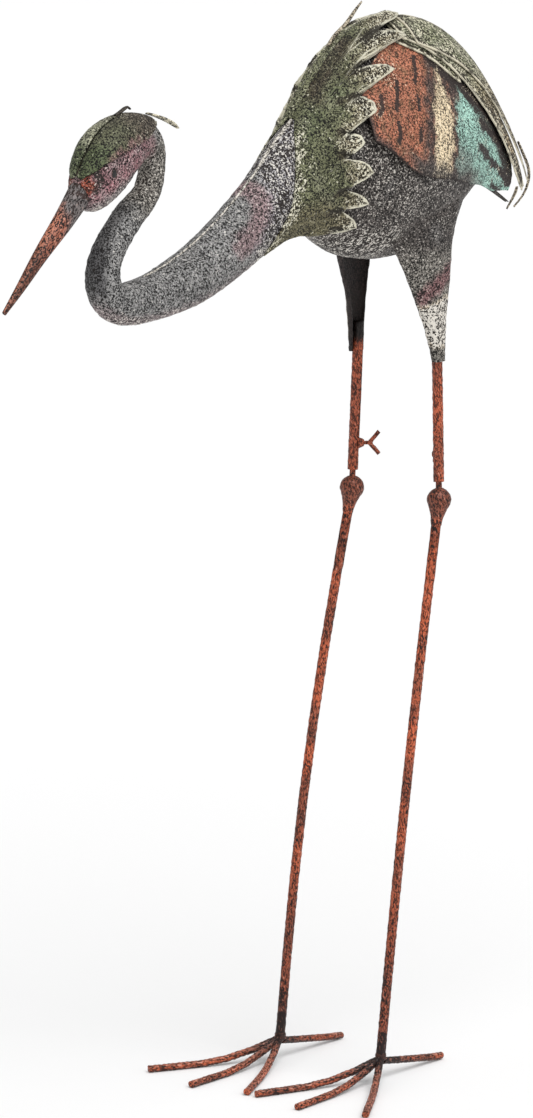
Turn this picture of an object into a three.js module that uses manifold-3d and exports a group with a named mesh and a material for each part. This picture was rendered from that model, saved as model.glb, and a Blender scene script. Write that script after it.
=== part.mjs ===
// Crane garden statue in painted sheet metal, millimetres, +Z up.
// The bird looks along -Y and its left side is +X; the ground is z = 0.
// The origin is under the middle of the whole statue.
import * as THREE from "three";
import { mergeVertices } from "three/addons/utils/BufferGeometryUtils.js";
import Module from "manifold-3d";

const wasm = await Module();
wasm.setup();

// Driving sizes
const GAP = 0.3;
const SHEET = 1.2;
const THIGH_WALL = 1.2;

const FOOT_SPREAD = 63;
const ANKLE_HEIGHT = 26;
const KNEE = new THREE.Vector3(54, 104.4, 567.6);
const HIP = new THREE.Vector3(49.1, 106.9, 707);
const ROD_RADIUS = 4.75;
const KNEE_RADIUS = 12.2;
const TUBE_RADIUS = 5.3;
const TUBE_BORE = 3.3;
const PIN_RADIUS = 3;
const TUBE_ABOVE_KNEE = 18.5;
const TUBE_LENGTH = 150;
const PIN_LENGTH = 62;
const SHIN_BOW = 9;
const SHIN_BOW_OUT = 3.5;
const SCREW_ABOVE_KNEE = 45;
const SCREW_RADIUS = 1.9;
const SCREW_TURN = Math.PI / 4;

const TOE_RADIUS = 3.25;
// Toes by where their tips are, how far from the ankle they start, how much lower than the
// others they leave it, and from which share of their length they lie on the ground.
const TOES = [
  { name: "middle", reach: [3.2, -139], start: 0, drop: 0, flatFrom: 0.6, sweep: 1.7 },
  { name: "outer", reach: [72.2, -120], start: 3.4, drop: 0, flatFrom: 0.6, sweep: 1.7 },
  { name: "inner", reach: [-57.4, -127], start: 3.4, drop: 0, flatFrom: 0.6, sweep: 1.7 },
  { name: "back", reach: [0.2, 100], start: 3.4, drop: 3, flatFrom: 1, sweep: 1.15 },
];

// Stations of the pressed body from the root of the beak to the rump. Each one is a section
// from a dorsal point (y, z) to a ventral point (y, z), with its half width and how much
// narrower it is towards its ridge.
const BODY_STATIONS = [
  [-391, 936, -382, 911, 12, 0],
  [-386, 945, -371, 906, 17.5, -0.04],
  [-374, 961, -355, 909, 23, -0.1],
  [-356, 978, -337, 919, 26, -0.1],
  [-332, 988.5, -322, 932, 25.5, 0],
  [-306, 990, -309, 941, 22, 0.1],
  [-283, 982, -301, 947, 17.5, 0.05],
  [-268, 963, -295, 946, 14.5, 0],
  [-265.5, 940, -291.5, 938, 13, 0],
  [-270, 917.5, -294, 926.5, 13, 0],
  [-280.7, 901, -301.3, 919, 13.5, 0],
  [-299, 887.5, -317, 910.5, 14.5, 0],
  [-319, 869.7, -339, 892.3, 15, 0],
  [-332, 854, -358, 872, 15.7, 0],
  [-335.5, 843, -368.6, 843, 16.6, 0],
  [-328, 832, -358, 812, 18, 0],
  [-320.7, 832, -329.3, 794, 19.5, 0],
  [-283.2, 836, -278.8, 792, 22, 0],
  [-242, 847.5, -230, 796.5, 24.5, 0],
  [-207, 861, -187, 807, 25.5, 0],
  [-162, 886, -136, 826, 26.5, 0.05],
  [-122, 913, -92, 843, 29, 0.15],
  [-92, 940, -55, 845, 33, 0.24],
  [-62, 960, -32, 840, 39.5, 0.33],
  [-32, 986, -12, 829, 49.5, 0.47],
  [-8, 1009.5, 8, 819, 60.5, 0.5],
  [25, 1028.5, 32, 813, 72, 0.5],
  [62, 1037.5, 62, 808.5, 75, 0.46],
  [100, 1036.5, 92, 810, 75, 0.38],
  [140, 1023.5, 125, 820, 70, 0.32],
  [180, 998, 158, 838, 60, 0.25],
  [212, 960, 190, 858, 45, 0.2],
  [230, 925, 214, 876, 27, 0.1],
  [236, 903, 228, 888, 9, 0],
];
// The looser coat that the wings and the mantle feathers lie on, in the same terms.
const COAT_STATIONS = [
  [-36, 990, -14, 822, 67, 0.44],
  [25, 1032, 30, 803, 75.5, 0.46],
  [70, 1039, 70, 798, 79, 0.41],
  [118, 1036, 110, 806, 78.5, 0.38],
  [164, 1018, 150, 822, 71.5, 0.34],
  [202, 987, 189, 823, 61, 0.34],
  [236, 943, 223, 821, 52, 0.32],
  [257, 901, 245, 821, 43, 0.3],
  [263, 868, 256, 822, 36, 0.3],
];
// The beak, from its root to its tip.
const BEAK_STATIONS = [
  [-391.5, 935.8, -382.5, 911, 11.8, 0.05],
  [-416, 910, -404, 893, 9.6, 0.1],
  [-446, 881, -437, 869, 7, 0.05],
  [-472, 853.5, -465.5, 845.5, 4.4, 0],
  [-496.5, 828.2, -493.6, 824.6, 2, 0],
];
const BODY_SIDES = 16;
const RING_SPACING = 25;

// Cape outline on the body: where its front edge stands at the ridge and how it slants, then
// the tips of its leaves and the notches between them as (station, degrees from the ridge).
const CAPE_FRONT = 23.1;
const CAPE_FRONT_SLANT = -0.0225;
const CAPE_TIPS = [
  [27.8, 8],
  [27.4, 30.7],
  [26.4, 48.7],
  [25.3, 63.9],
  [24.5, 74.9],
  [24.55, 92],
  [24.4, 112.3],
  [24.1, 131.4],
];
const CAPE_NOTCHES = [
  [27.5, 0.5],
  [26.6, 19.7],
  [25.35, 34.3],
  [25, 49.8],
  [23.9, 62.5],
  [23.55, 77],
  [23.2, 97.5],
  [23, 115.2],
  [22.1, 150],
];
const CAPE_ROWS = 3;
const CAPE_STEPS = 3;
const CAPE_LEAF_BULGE = 0.16;
const LEAF_COLUMNS = 4;
const LEAF_TAPER = 0.45;
const WING_GROOVES = 12;
const GROOVE_DEPTH = 0.9;

const radians = THREE.MathUtils.degToRad;
const lerp = THREE.MathUtils.lerp;
const clamp01 = (x) => THREE.MathUtils.clamp(x, 0, 1);

// Materials

function painted(name, color, roughness, metalness) {
  return new THREE.MeshStandardMaterial({ name, color, roughness, metalness });
}
const greyPaint = () => painted("grey painted sheet", 0x6c6c70, 0.72, 0.25);
const greenPaint = () => painted("green painted sheet", 0x5b6a4a, 0.75, 0.2);
const olivePaint = () => painted("pale olive painted sheet", 0x8a8c72, 0.75, 0.2);
const wingPaint = () => painted("rust, cream and teal painted sheet", 0xa06a50, 0.7, 0.25);
const creamPaint = () => painted("cream brushed sheet", 0xc9c4ae, 0.75, 0.15);
const rustPaint = () => painted("rust painted rod", 0x8f4a34, 0.65, 0.4);
const beakPaint = () => painted("copper rust painted sheet", 0x9c553c, 0.6, 0.4);

// Solids

// A closed body through rings of equal count. A ring goes once round its section, and each
// end is closed by strips between the two halves of its ring. The two halves have mirrored
// faces, so both sides of a thin sheet bend alike.
function loft(rings) {
  const count = rings[0].length;
  const positions = rings.flat().flatMap((p) => [p.x, p.y, p.z]);
  const index = [];
  for (let i = 0; i + 1 < rings.length; i += 1) {
    for (let j = 0; j < count; j += 1) {
      const a = i * count + j;
      const b = i * count + ((j + 1) % count);
      if (j < count / 2) index.push(a, b, a + count, b, b + count, a + count);
      else index.push(a, b, b + count, a, b + count, a + count);
    }
  }
  const top = (rings.length - 1) * count;
  for (let j = 0; j + 1 < count / 2; j += 1) {
    const [a, b, c, d] = [j, j + 1, count - 2 - j, count - 1 - j];
    index.push(a, c, b, a, d, c);
    index.push(top + a, top + b, top + c, top + a, top + c, top + d);
  }
  const geometry = new THREE.BufferGeometry();
  geometry.setAttribute("position", new THREE.Float32BufferAttribute(positions, 3));
  geometry.setIndex(index.filter((_, k) => !flatFace(index, positions, k)));
  return facingOut(geometry);
}

// True where corner k of the index belongs to a face that has no area.
function flatFace(index, positions, k) {
  const first = k - (k % 3);
  const [a, b, c] = [0, 1, 2].map((n) => {
    const at = index[first + n] * 3;
    return new THREE.Vector3(positions[at], positions[at + 1], positions[at + 2]);
  });
  return a.distanceTo(b) < 1e-4 || b.distanceTo(c) < 1e-4 || a.distanceTo(c) < 1e-4;
}

// The geometry with its faces turned out, told by the sign of its volume.
function facingOut(geometry) {
  const p = geometry.attributes.position;
  const index = geometry.index.array;
  const corner = (i) => new THREE.Vector3().fromBufferAttribute(p, index[i]);
  let volume = 0;
  for (let i = 0; i < index.length; i += 3) {
    volume += corner(i).dot(corner(i + 1).cross(corner(i + 2)));
  }
  if (volume < 0) {
    const turned = [];
    for (let i = 0; i < index.length; i += 3) {
      turned.push(index[i], index[i + 2], index[i + 1]);
    }
    geometry.setIndex(turned);
  }
  return geometry;
}

function toSolid(geometry) {
  const bare = geometry.clone();
  bare.deleteAttribute("normal");
  bare.deleteAttribute("uv");
  const merged = mergeVertices(bare, 1e-4);
  return new wasm.Manifold(
    new wasm.Mesh({
      numProp: 3,
      vertProperties: merged.attributes.position.array,
      triVerts: new Uint32Array(merged.index.array),
    }),
  );
}

function toGeometry(solid) {
  const { vertProperties, triVerts } = solid.getMesh();
  const geometry = new THREE.BufferGeometry();
  geometry.setAttribute("position", new THREE.BufferAttribute(vertProperties, 3));
  geometry.setIndex(new THREE.BufferAttribute(triVerts, 1));
  return geometry;
}

// Surfaces

// A skin over stations: at(s, angle, lift) is the point of section s at an angle from its
// ridge, lifted off the skin along its normal.
function skinOver(stations) {
  const last = stations.length - 1;
  const curve = (points) => new THREE.CatmullRomCurve3(points);
  const dorsal = curve(stations.map(([y, z]) => new THREE.Vector3(0, y, z)));
  const ventral = curve(stations.map(([, , y, z]) => new THREE.Vector3(0, y, z)));
  const girth = curve(stations.map(([, , , , w, r], i) => new THREE.Vector3(w, 100 * r, i)));
  girth.curveType = "catmullrom";
  const flat = (s, angle) => {
    const t = clamp01(s / last);
    const top = dorsal.getPoint(t);
    const bottom = ventral.getPoint(t);
    const { x: width, y: ridge } = girth.getPoint(t);
    const middle = top.clone().add(bottom).multiplyScalar(0.5);
    const narrow = 1 - (ridge / 100) * Math.max(0, Math.cos(angle));
    top.sub(middle).multiplyScalar(Math.cos(angle));
    return middle.add(top).setX(width * Math.sin(angle) * narrow);
  };
  const at = (s, angle, lift = 0) => {
    const point = flat(s, angle);
    if (lift === 0) return point;
    const step = 0.02;
    const along = flat(s + step, angle).sub(flat(s - step, angle));
    const around = flat(s, angle + step).sub(flat(s, angle - step));
    const normal = along.cross(around).normalize();
    const outward = point.clone().sub(flat(s, angle + Math.PI));
    if (normal.dot(outward) < 0) normal.negate();
    return point.addScaledVector(normal, lift);
  };
  return { at, last };
}
const body = skinOver(BODY_STATIONS);
const coat = skinOver(COAT_STATIONS);
const bill = skinOver(BEAK_STATIONS);

// A thin sheet over a skin. place(u, v) gives its station, angle and lift, with u from its
// root to its tip and v from side to side.
function sheet(skin, rows, columns, place, thickness = SHEET) {
  const rings = [];
  for (let i = 0; i <= rows; i += 1) {
    const upper = [];
    const lower = [];
    for (let j = 0; j <= columns; j += 1) {
      const { s, angle, lift } = place(i / rows, j / columns);
      upper.push(skin.at(s, angle, lift + thickness));
      lower.unshift(skin.at(s, angle, lift));
    }
    rings.push([...upper, ...lower]);
  }
  return loft(rings);
}

// A leaf along a spine of (station, degrees) points: full in the middle and drawn to a tip.
// Its lift grows from root to tip, and its width is in degrees round the skin.
function leaf(skin, { spine, width, lift, rows = 6 }) {
  const path = new THREE.SplineCurve(spine.map(([s, a]) => new THREE.Vector2(s, a)));
  return sheet(skin, rows, LEAF_COLUMNS, (u, v) => {
    const middle = path.getPoint(u);
    const shape = Math.sin(Math.PI * lerp(0.24, 0.985, u)) ** LEAF_TAPER;
    return {
      s: middle.x,
      angle: radians(middle.y + (2 * v - 1) * width * shape),
      lift: lerp(lift[0], lift[1], u),
    };
  });
}

// Body: both pressed halves, closed, with the thighs as shells that are open inwards.

function bodySkin() {
  const stations = [];
  for (let i = 0; i < body.last; i += 1) {
    stations.push(i);
    const pace = (angle) => body.at(i, angle).distanceTo(body.at(i + 1, angle));
    if (Math.max(pace(0), pace(Math.PI)) > RING_SPACING) stations.push(i + 0.5);
  }
  const rings = [...stations, body.last].map((s) => {
    const ring = [];
    for (let j = 0; j < BODY_SIDES; j += 1) {
      ring.push(body.at(s, ((j + 0.5) / BODY_SIDES) * 2 * Math.PI));
    }
    return ring;
  });
  return toSolid(loft(rings));
}

// Levels of the left thigh: height, then the front and the rear edge of the shell (x, y) and
// how far it bulges out between them. It is open inwards.
const THIGH_LEVELS = [
  [872, 12, 34, 36, 158, 34],
  [850, 20, 42, 41, 142, 30],
  [824, 32, 56, 46, 129, 19],
  [793, 37.9, 69.3, 48.7, 125.8, 12],
  [761, 41.1, 84.4, 48.8, 120.1, 10.5],
  [731, 45.9, 93.2, 48.5, 116.5, 9.5],
  [706, 49.2, 97.9, 47.6, 114.2, 8.7],
];
const THIGH_SIDES = 8;

function thighShell(side) {
  const rings = THIGH_LEVELS.map(([z, frontX, frontY, rearX, rearY, bulge]) => {
    const front = new THREE.Vector2(frontX, frontY);
    const rear = new THREE.Vector2(rearX, rearY);
    const middle = front.clone().add(rear).multiplyScalar(0.5);
    const chord = rear.clone().sub(front).normalize();
    const half = front.distanceTo(rear) / 2;
    const wallPoint = (j, wall) => {
      const angle = (j / THIGH_SIDES) * Math.PI;
      const length = -Math.cos(angle) * (half - wall);
      const out = Math.sin(angle) ** 0.8 * (bulge - wall);
      const x = middle.x + chord.x * length + chord.y * out;
      const y = middle.y + chord.y * length - chord.x * out;
      return new THREE.Vector3(side * x, y, z);
    };
    const ring = [];
    for (let j = 0; j <= THIGH_SIDES; j += 1) ring.push(wallPoint(j, 0));
    for (let j = THIGH_SIDES; j >= 0; j -= 1) ring.push(wallPoint(j, THIGH_WALL));
    return ring;
  });
  return toSolid(loft(rings));
}

function bodyShell() {
  const shell = bodySkin().add(thighShell(1)).add(thighShell(-1));
  return toGeometry(shell);
}

// Head

// The beak is rolled sheet, and the seam under it is a groove.
function beak() {
  const steps = 7;
  const sides = 12;
  const rings = [];
  for (let i = 0; i <= steps; i += 1) {
    const ring = [];
    for (let j = 0; j < sides; j += 1) {
      const angle = ((j + 0.5) / sides) * 2 * Math.PI;
      const underSeam = Math.abs(angle - Math.PI) < 0.3;
      ring.push(bill.at((i / steps) * bill.last, angle, underSeam ? -0.8 * (1 - i / steps) : 0));
    }
    rings.push(ring);
  }
  return loft(rings);
}

// One side of the crown: a leaf from the root of the beak over the crown to the nape.
function crown() {
  const rows = 8;
  const lowEdge = new THREE.SplineCurve(
    [[0.45, 24], [1.6, 45], [2.6, 60], [3.6, 72], [4.6, 78], [5.5, 60], [6.1, 22]].map(
      ([s, a]) => new THREE.Vector2(s, a),
    ),
  );
  return sheet(body, rows, 3, (u, v) => {
    const low = lowEdge.getPoint(u);
    return {
      s: low.x,
      angle: radians(lerp(3.5, low.y, v)),
      lift: 1.3 + 1.2 * u * v + 2 * Math.sin(Math.PI * u) * Math.sin(Math.PI * v),
    };
  });
}

// A free feather along a curve in space, flat across and drawn to its tip.
function plume(points, width, point = 0.97, rows = 6) {
  const path = new THREE.CatmullRomCurve3(points.map((p) => new THREE.Vector3(...p)));
  const rings = [];
  for (let i = 0; i <= rows; i += 1) {
    const t = i / rows;
    const middle = path.getPoint(t);
    const along = path.getTangent(t);
    const across = new THREE.Vector3(1, 0, 0).addScaledVector(along, -along.x).normalize();
    const up = across.clone().cross(along).normalize();
    const half = Math.max(0.7, width * Math.sin(Math.PI * lerp(0.2, point, t)) ** 0.7);
    const ring = [];
    for (const [a, b] of [[-1, 0], [0, 0.6], [1, 0], [1, -1], [0, -0.4], [-1, -1]]) {
      ring.push(
        middle
          .clone()
          .addScaledVector(across, a * half)
          .addScaledVector(up, b * SHEET),
      );
    }
    rings.push(ring);
  }
  return loft(rings);
}

const CREST_FEATHER = [
  [4, -288, 990.3],
  [6, -276, 986.5],
  [8, -261, 980],
  [9, -249, 972.5],
];
const CREST_CURL = [
  [-2.5, -330, 992.5],
  [-4, -319, 995],
  [-5, -309, 998],
  [-6, -302, 995],
];
const CAPE_PLUME = [
  [-9, 4.4, 1023],
  [-13, 20.8, 1032],
  [-15, 41.4, 1041],
  [-18, 60, 1052.2],
  [-20, 73.1, 1059.2],
];
const TAIL_PLUME = [
  [44.5, 246.5, 907.5],
  [44, 256, 894],
  [44, 266, 876],
  [44, 260.7, 857],
  [44, 240.6, 842.4],
];
const TAIL_WISP = [
  [31, 264, 859],
  [31, 260, 852],
  [31, 246.6, 838.5],
];
const TAIL_TIP = [
  [33, 197, 871.5],
  [33, 215, 863.5],
  [33, 243.8, 847],
];

// Capes

// Rear edge of the cape as points from notch to tip to notch. The sides of each leaf bulge most
// near its tip.
function capeEdge() {
  const edge = [];
  CAPE_TIPS.forEach((tip, k) => {
    const ends = [CAPE_NOTCHES[k], tip, CAPE_NOTCHES[k + 1]];
    for (let side = 0; side < 2; side += 1) {
      for (let i = 0; i < CAPE_STEPS; i += 1) {
        const t = i / CAPE_STEPS;
        const bulge = CAPE_LEAF_BULGE * Math.sin(Math.PI * t ** (side ? 0.7 : 1.5));
        const [from, to] = [ends[side], ends[side + 1]];
        const angle = lerp(from[1], to[1], t) + (side ? 4 : -2) * bulge;
        edge.push([lerp(from[0], to[0], t) + bulge, angle]);
      }
    }
  });
  edge.push(CAPE_NOTCHES.at(-1));
  return edge;
}

// How far the leaves stand off the body, from the top leaves over the mantle to the belly.
function capeLift(angle) {
  const overMantle = 1 - clamp01((angle - 30) / 18);
  const overWing = clamp01((angle - 38) / 9) - clamp01((angle - 72) / 12);
  return 4 + 5.5 * overMantle + 6 * overWing;
}

function cape() {
  const edge = capeEdge();
  const columns = edge.length - 1;
  return sheet(body, CAPE_ROWS, columns, (u, v) => {
    const [s, angle] = edge[Math.round(v * columns)];
    const front = lerp(0.5, 132, v);
    const reach = u ** 0.85;
    return {
      s: lerp(CAPE_FRONT + CAPE_FRONT_SLANT * front, s, reach),
      angle: radians(lerp(front, angle, reach)),
      lift: 1 + capeLift(angle) * u ** 1.4,
    };
  });
}

// Wings

function wing() {
  const spline = (points) => new THREE.SplineCurve(points.map((p) => new THREE.Vector2(...p)));
  const upper = spline([[0.5, 46], [1.6, 30], [3, 28], [4.2, 43], [5.1, 68], [5.75, 94]]);
  const lower = spline([[0.36, 74], [1.1, 96], [2.6, 105], [3.8, 115], [4.9, 119], [5.8, 112]]);
  return sheet(coat, 2 * WING_GROOVES, 4, (u, v) => {
    const a = upper.getPoint(u);
    const b = lower.getPoint(u);
    const groove = Math.round(u * 2 * WING_GROOVES) % 2 ? GROOVE_DEPTH : 0;
    const rim = Math.sin(Math.PI * v) ** 0.5;
    return {
      s: lerp(a.x, b.x, v),
      angle: radians(lerp(a.y, b.y, v)),
      lift: (1 - groove) * rim - 0.3,
    };
  });
}

// Mantle: long leaves over the back, the upper ones over the lower ones.
const MANTLE = [
  { name: "lower", spine: [[1.9, 24], [2.7, 38], [3.4, 57]], width: 8, lift: [1.7, 2.1], rows: 5 },
  {
    name: "middle",
    spine: [[2.1, 18], [3, 33], [4.3, 64], [5.3, 82], [6.5, 98]],
    width: 14,
    lift: [4.1, 5.6],
  },
  { name: "upper", spine: [[2.4, 20], [3.6, 31], [5.2, 54], [6.8, 82]], width: 19, lift: [6.2, 8] },
];
const RIDGE_LEAF = { spine: [[2.1, 0], [4, 0], [6, 0], [7.6, 0]], width: 22, lift: [0.4, 2] };

// Legs

function along(from, to, distance) {
  return to.clone().sub(from).normalize().multiplyScalar(distance).add(from);
}

function placeOnAxis(geometry, from, to) {
  const turn = new THREE.Quaternion().setFromUnitVectors(
    new THREE.Vector3(0, 1, 0),
    to.clone().sub(from).normalize(),
  );
  return geometry.applyQuaternion(turn).translate(from.x, from.y, from.z);
}

function lathe(profile, sides) {
  return new THREE.LatheGeometry(profile.map(([r, h]) => new THREE.Vector2(r, h)), sides);
}

// Tube from the thigh down to the knee, bored for the pin, with the boss of its screw.
function upperLeg() {
  const top = TUBE_LENGTH;
  const bore = PIN_LENGTH - TUBE_ABOVE_KNEE + 4;
  const profile = [
    [0, bore],
    [TUBE_BORE, bore],
    [TUBE_BORE, 0],
    [TUBE_RADIUS, 0],
    [TUBE_RADIUS, top],
    [0, top],
  ];
  const tube = placeOnAxis(lathe(profile, 10), along(KNEE, HIP, TUBE_ABOVE_KNEE), HIP);
  const out = screwDirection();
  const root = along(KNEE, HIP, SCREW_ABOVE_KNEE);
  const boss = placeOnAxis(
    new THREE.CylinderGeometry(3.4, 6.2, 6.5, 10).translate(0, TUBE_RADIUS + 1.6, 0),
    root,
    root.clone().add(out),
  );
  const socket = placeOnAxis(
    new THREE.CylinderGeometry(SCREW_RADIUS + GAP, SCREW_RADIUS + GAP, 5, 8).translate(
      0,
      TUBE_RADIUS + 3.4,
      0,
    ),
    root,
    root.clone().add(out),
  );
  const hole = placeOnAxis(
    new THREE.CylinderGeometry(TUBE_BORE, TUBE_BORE, 2 * bore, 10),
    along(KNEE, HIP, TUBE_ABOVE_KNEE),
    HIP,
  );
  return toGeometry(toSolid(tube).add(toSolid(boss)).subtract(toSolid(hole)).subtract(toSolid(socket)));
}

// The screws stand inwards and back.
function screwDirection() {
  return new THREE.Vector3(-Math.cos(SCREW_TURN), Math.sin(SCREW_TURN), 0);
}

// Thumb screw: a shank that forks into two short arms, one up and one down.
function thumbScrew() {
  const start = TUBE_RADIUS + 1.6;
  const fork = TUBE_RADIUS + 11;
  const shank = new THREE.CylinderGeometry(SCREW_RADIUS, SCREW_RADIUS, fork - start, 8);
  shank.translate(0, (fork + start) / 2, 0);
  let screw = toSolid(shank);
  for (const way of [1, -1]) {
    const arm = new THREE.CylinderGeometry(2.1, 2.1, 16, 8).translate(0, 7, 0);
    arm.rotateX(way * radians(48)).translate(0, fork - 1, 0);
    screw = screw.add(toSolid(arm));
  }
  const root = along(KNEE, HIP, SCREW_ABOVE_KNEE);
  const frame = new THREE.Matrix4().makeBasis(
    new THREE.Vector3(0, 0, 1).cross(screwDirection()).negate(),
    screwDirection(),
    new THREE.Vector3(0, 0, 1),
  );
  return toGeometry(screw).applyMatrix4(frame).translate(root.x, root.y, root.z);
}

// Rod from the ankle to the knee, bowed a little forwards and outwards.
class ShinCurve extends THREE.Curve {
  getPoint(t, target = new THREE.Vector3()) {
    const ankle = new THREE.Vector3(FOOT_SPREAD, 0, ANKLE_HEIGHT);
    target.lerpVectors(ankle, KNEE, t);
    target.y -= SHIN_BOW * Math.sin(Math.PI * t);
    target.x += SHIN_BOW_OUT * Math.sin(Math.PI * t);
    return target;
  }
}

// The rod with the knee ball, its collar and the pin on top.
function lowerLeg() {
  const sides = 10;
  const section = new THREE.Shape();
  for (let j = 0; j < sides; j += 1) {
    const angle = (j / sides) * 2 * Math.PI;
    section[j ? "lineTo" : "moveTo"](ROD_RADIUS * Math.cos(angle), ROD_RADIUS * Math.sin(angle));
  }
  const rod = new THREE.ExtrudeGeometry(section, {
    steps: 7,
    extrudePath: new ShinCurve(),
    bevelEnabled: false,
  });
  const ball = [];
  for (let i = 0; i <= 5; i += 1) {
    const angle = lerp(-0.68, 1.32, i / 5);
    ball.push([KNEE_RADIUS * Math.cos(angle), KNEE_RADIUS * Math.sin(angle)]);
  }
  const knee = lathe([[0, -30], [3, -30], [5.2, -26], [6.4, -17], ...ball, [0, 12]], 11);
  const pin = new THREE.CylinderGeometry(PIN_RADIUS, PIN_RADIUS, PIN_LENGTH, 8);
  const shin = new ShinCurve();
  placeOnAxis(knee, KNEE, KNEE.clone().add(shin.getTangent(1)));
  placeOnAxis(pin.translate(0, PIN_LENGTH / 2, 0), KNEE, HIP);
  const leg = toSolid(rod).add(toSolid(knee)).add(toSolid(pin));
  return toGeometry(leg.trimByPlane([0, 0, 1], ANKLE_HEIGHT));
}

// Feet

// Centre line of a toe: it falls from the ankle and then lies flat on the ground.
class ToeCurve extends THREE.Curve {
  constructor(plan, start) {
    super();
    this.plan = plan;
    this.start = start;
    this.length = Math.hypot(...plan.reach);
  }
  getPoint(t, target = new THREE.Vector3()) {
    const { drop, flatFrom, sweep } = this.plan;
    const x = lerp(this.start, this.length, t);
    const fall = Math.max(0, 1 - x / (this.length * flatFrom));
    const high = ANKLE_HEIGHT - GAP - 2 * TOE_RADIUS - drop;
    return target.set(x, 0, TOE_RADIUS + high * fall ** sweep);
  }
}

function toeRod(plan, grow) {
  const { reach, start } = plan;
  const radius = (TOE_RADIUS + grow) / Math.cos(Math.PI / 8);
  const section = new THREE.Shape();
  for (let j = 0; j < 8; j += 1) {
    const angle = ((j + 0.5) / 8) * 2 * Math.PI;
    section[j ? "lineTo" : "moveTo"](radius * Math.cos(angle), radius * Math.sin(angle));
  }
  const path = new ToeCurve(plan, start - grow);
  const rod = new THREE.ExtrudeGeometry(section, { steps: 5, extrudePath: path, bevelEnabled: false });
  return toSolid(rod.rotateZ(Math.atan2(reach[1], reach[0])));
}

// The toes of one foot meet under the ankle, each cut to fit beside the ones before it.
function toes() {
  const placed = [];
  return TOES.map((plan) => {
    let toe = toeRod(plan, 0);
    for (const other of placed) toe = toe.subtract(other);
    placed.push(toeRod(plan, GAP));
    return { name: plan.name, geometry: toGeometry(toe).translate(FOOT_SPREAD, 0, 0) };
  });
}

// Assembly

const crane = new THREE.Group();

function add(name, geometry, material) {
  const mesh = new THREE.Mesh(geometry, material);
  mesh.name = name;
  crane.add(mesh);
  return mesh;
}

// The same piece on both sides of the bird.
function addPair(name, geometry, material) {
  add(`${name}_left`, geometry, material());
  add(`${name}_right`, geometry.clone(), material()).scale.x = -1;
}

add("body", bodyShell(), greyPaint());
add("beak", beak(), beakPaint());
addPair("crown", crown(), greenPaint);
add("crest_feather", plume(CREST_FEATHER, 6), creamPaint());
add("crest_curl", plume(CREST_CURL, 2.4), greenPaint());
addPair("cape", cape(), greenPaint);
add("cape_plume", plume(CAPE_PLUME, 2.2), creamPaint());
addPair("tail_plume", plume(TAIL_PLUME, 1.5), creamPaint);
addPair("tail_wisp", plume(TAIL_WISP, 1.5), creamPaint);
addPair("tail_tip", plume(TAIL_TIP, 3.4, 0.86), olivePaint);
addPair("wing", wing(), wingPaint);
for (const { name, ...shape } of MANTLE) {
  addPair(`mantle_${name}`, leaf(coat, shape), olivePaint);
}
add("mantle_ridge", leaf(coat, RIDGE_LEAF), olivePaint());
addPair("upper_leg", upperLeg(), rustPaint);
addPair("thumb_screw", thumbScrew(), rustPaint);
addPair("lower_leg", lowerLeg(), rustPaint);
for (const { name, geometry } of toes()) addPair(`toe_${name}`, geometry, rustPaint);

// The origin goes under the middle of the statue's box.
const box = new THREE.Box3().setFromObject(crane);
crane.position.y = -(box.min.y + box.max.y) / 2;
crane.position.x = -(box.min.x + box.max.x) / 2;

export default crane;
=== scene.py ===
"""Crane garden statue in hammered sheet metal with hand-dabbed paint and rust-brown rod legs."""
import math

import bmesh
import bpy
import numpy as np
from bpy.props import FloatProperty, FloatVectorProperty, IntProperty, PointerProperty
from bpy.types import Operator, Panel, PropertyGroup
from mathutils import Matrix, Vector
from mathutils.bvhtree import BVHTree
from mathutils.kdtree import KDTree


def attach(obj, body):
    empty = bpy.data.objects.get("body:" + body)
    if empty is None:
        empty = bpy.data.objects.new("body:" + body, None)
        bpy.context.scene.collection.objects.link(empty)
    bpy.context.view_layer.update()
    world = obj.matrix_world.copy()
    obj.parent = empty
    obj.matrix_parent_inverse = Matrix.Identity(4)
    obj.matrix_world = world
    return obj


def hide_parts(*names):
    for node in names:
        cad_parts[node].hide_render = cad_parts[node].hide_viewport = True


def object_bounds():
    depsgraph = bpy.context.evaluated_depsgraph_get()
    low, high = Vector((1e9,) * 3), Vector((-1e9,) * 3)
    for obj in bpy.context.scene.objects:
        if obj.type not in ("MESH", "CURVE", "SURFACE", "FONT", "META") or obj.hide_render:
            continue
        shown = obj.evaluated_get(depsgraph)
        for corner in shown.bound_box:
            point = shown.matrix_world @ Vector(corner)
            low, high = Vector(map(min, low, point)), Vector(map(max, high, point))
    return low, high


bl_info = {
    "name": "Garden crane",
    "version": (1, 0, 0),
    "blender": (4, 5, 0),
    "location": "3D View > Sidebar > Crane",
    "description": "Smooth pressed skins, dabbed paint, eyes and seams for a sheet metal crane",
    "category": "Object",
}

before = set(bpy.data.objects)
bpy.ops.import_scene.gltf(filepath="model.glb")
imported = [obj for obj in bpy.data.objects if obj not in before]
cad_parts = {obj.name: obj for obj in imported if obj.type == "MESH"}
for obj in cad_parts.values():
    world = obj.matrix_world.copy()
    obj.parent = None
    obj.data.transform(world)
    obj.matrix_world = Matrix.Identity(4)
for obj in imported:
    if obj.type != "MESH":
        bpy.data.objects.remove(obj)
CAD_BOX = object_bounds()

# Places and directions on the left side, in millimetres. The right side mirrors them.
CAPE_FRONT = [(0, 54, 964), (9, 44, 953), (17, 35, 939), (24, 28, 922), (29, 20, 903),
              (31, 13, 885), (30, 3, 867), (26, -9, 849), (22, -19, 837)]
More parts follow.
